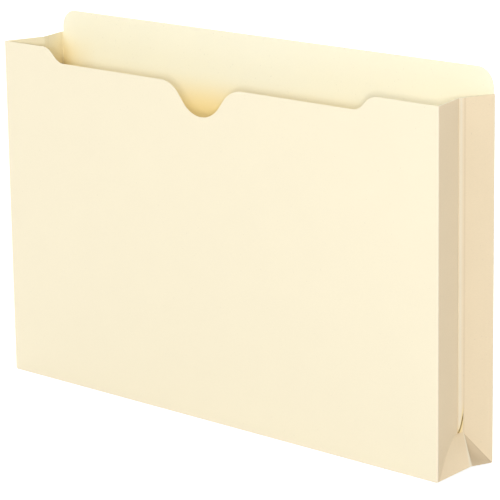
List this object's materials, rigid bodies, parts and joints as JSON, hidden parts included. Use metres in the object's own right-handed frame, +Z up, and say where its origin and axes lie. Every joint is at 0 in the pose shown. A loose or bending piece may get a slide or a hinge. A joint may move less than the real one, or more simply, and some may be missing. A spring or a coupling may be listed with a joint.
{
  "type": "file jacket",
  "caption": "Expanding manila pocket for loose papers, with gusseted sides and bottom that fold flat, a taller full-width tab at the back and a thumb notch in front.",
  "frame": {"origin": "on the table, in the middle of the jacket's footprint", "axes": "+X along the width, -Y out of the front panel, +Y out of the back panel, +Z up through the mouth"},
  "size_m": [0.3838, 0.0522, 0.2413],
  "materials": {
    "manila_board": "matte",
    "tab_board": "matte"
  },
  "bodies": {
    "back": {"back_panel": "manila_board", "tab_reinforcing_ply": "tab_board"},
    "bottom_back": {"bottom_gusset_back_half": "manila_board"},
    "bottom_front": {"bottom_gusset_front_half": "manila_board"},
    "front": {"front_panel": "manila_board"},
    "right_side_back": {"right_gusset_back_half": "manila_board", "right_gusset_lap": "manila_board"},
    "right_side_front": {"right_gusset_front_half": "manila_board"},
    "right_web_back": {"right_corner_web_back": "manila_board"},
    "right_web_front": {"right_corner_web_front": "manila_board"},
    "left_side_back": {"left_gusset_back_half": "manila_board", "left_gusset_lap": "manila_board"},
    "left_side_front": {"left_gusset_front_half": "manila_board"},
    "left_web_back": {"left_corner_web_back": "manila_board"},
    "left_web_front": {"left_corner_web_front": "manila_board"}
  },
  "joints": [
    {"name": "bottom_back_fold", "type": "hinge", "parent": "back", "child": "bottom_back", "pos_m": [0, 0.02543, 0.00033], "axis": [-1, 0, 0], "range_deg": [0, 75]},
    {"name": "bottom_centre_crease", "type": "hinge", "parent": "bottom_back", "child": "bottom_front", "pos_m": [0, -0.00014, 0.0046], "axis": [1, 0, 0], "range_deg": [0, 150.1]},
    {"name": "bottom_front_fold", "type": "hinge", "parent": "bottom_front", "child": "front", "pos_m": [0, -0.02571, 0.00033], "axis": [-1, 0, 0], "range_deg": [0, 75.1]},
    {"name": "right_back_fold", "type": "hinge", "parent": "back", "child": "right_side_back", "pos_m": [0.18704, 0.02543, 0], "axis": [0, 0, -1], "range_deg": [0, 72.4]},
    {"name": "right_front_fold", "type": "hinge", "parent": "front", "child": "right_side_front", "pos_m": [0.18704, -0.02571, 0], "axis": [0, 0, 1], "range_deg": [0, 72.4]},
    {"name": "right_back_web_fold", "type": "hinge", "parent": "right_side_back", "child": "right_web_back", "pos_m": [0.18746, 0.02531, 0.0006], "axis": [-0.1937, -0.6879, 0.6995], "range_deg": [0, 140.2], "deforming": ["right_corner_web_back"]},
    {"name": "right_front_web_fold", "type": "hinge", "parent": "right_side_front", "child": "right_web_front", "pos_m": [0.18746, -0.02559, 0.0006], "axis": [0.1937, -0.6879, -0.6995], "range_deg": [0, 140.2], "deforming": ["right_corner_web_front"]},
    {"name": "left_back_fold", "type": "hinge", "parent": "back", "child": "left_side_back", "pos_m": [-0.18704, 0.02543, 0], "axis": [0, 0, 1], "range_deg": [0, 72.4]},
    {"name": "left_front_fold", "type": "hinge", "parent": "front", "child": "left_side_front", "pos_m": [-0.18704, -0.02571, 0], "axis": [0, 0, -1], "range_deg": [0, 72.4]},
    {"name": "left_back_web_fold", "type": "hinge", "parent": "left_side_back", "child": "left_web_back", "pos_m": [-0.18746, 0.02531, 0.0006], "axis": [-0.1937, 0.6879, -0.6995], "range_deg": [0, 140.2], "deforming": ["left_corner_web_back"]},
    {"name": "left_front_web_fold", "type": "hinge", "parent": "left_side_front", "child": "left_web_front", "pos_m": [-0.18746, -0.02559, 0.0006], "axis": [0.1937, 0.6879, 0.6995], "range_deg": [0, 140.2], "deforming": ["left_corner_web_front"]}
  ],
  "couplings": [
    {"joint": "bottom_centre_crease", "follows": "bottom_back_fold", "ratio": 2},
    {"joint": "bottom_front_fold", "follows": "bottom_back_fold", "ratio": 1},
    {"joint": "right_back_fold", "follows": "bottom_back_fold", "ratio": 0.9637},
    {"joint": "right_front_fold", "follows": "bottom_back_fold", "ratio": 0.9637},
    {"joint": "right_back_web_fold", "follows": "bottom_back_fold", "ratio": 1.867},
    {"joint": "right_front_web_fold", "follows": "bottom_back_fold", "ratio": 1.867},
    {"joint": "left_back_fold", "follows": "bottom_back_fold", "ratio": 0.9637},
    {"joint": "left_front_fold", "follows": "bottom_back_fold", "ratio": 0.9637},
    {"joint": "left_back_web_fold", "follows": "bottom_back_fold", "ratio": 1.867},
    {"joint": "left_front_web_fold", "follows": "bottom_back_fold", "ratio": 1.867}
  ]
}
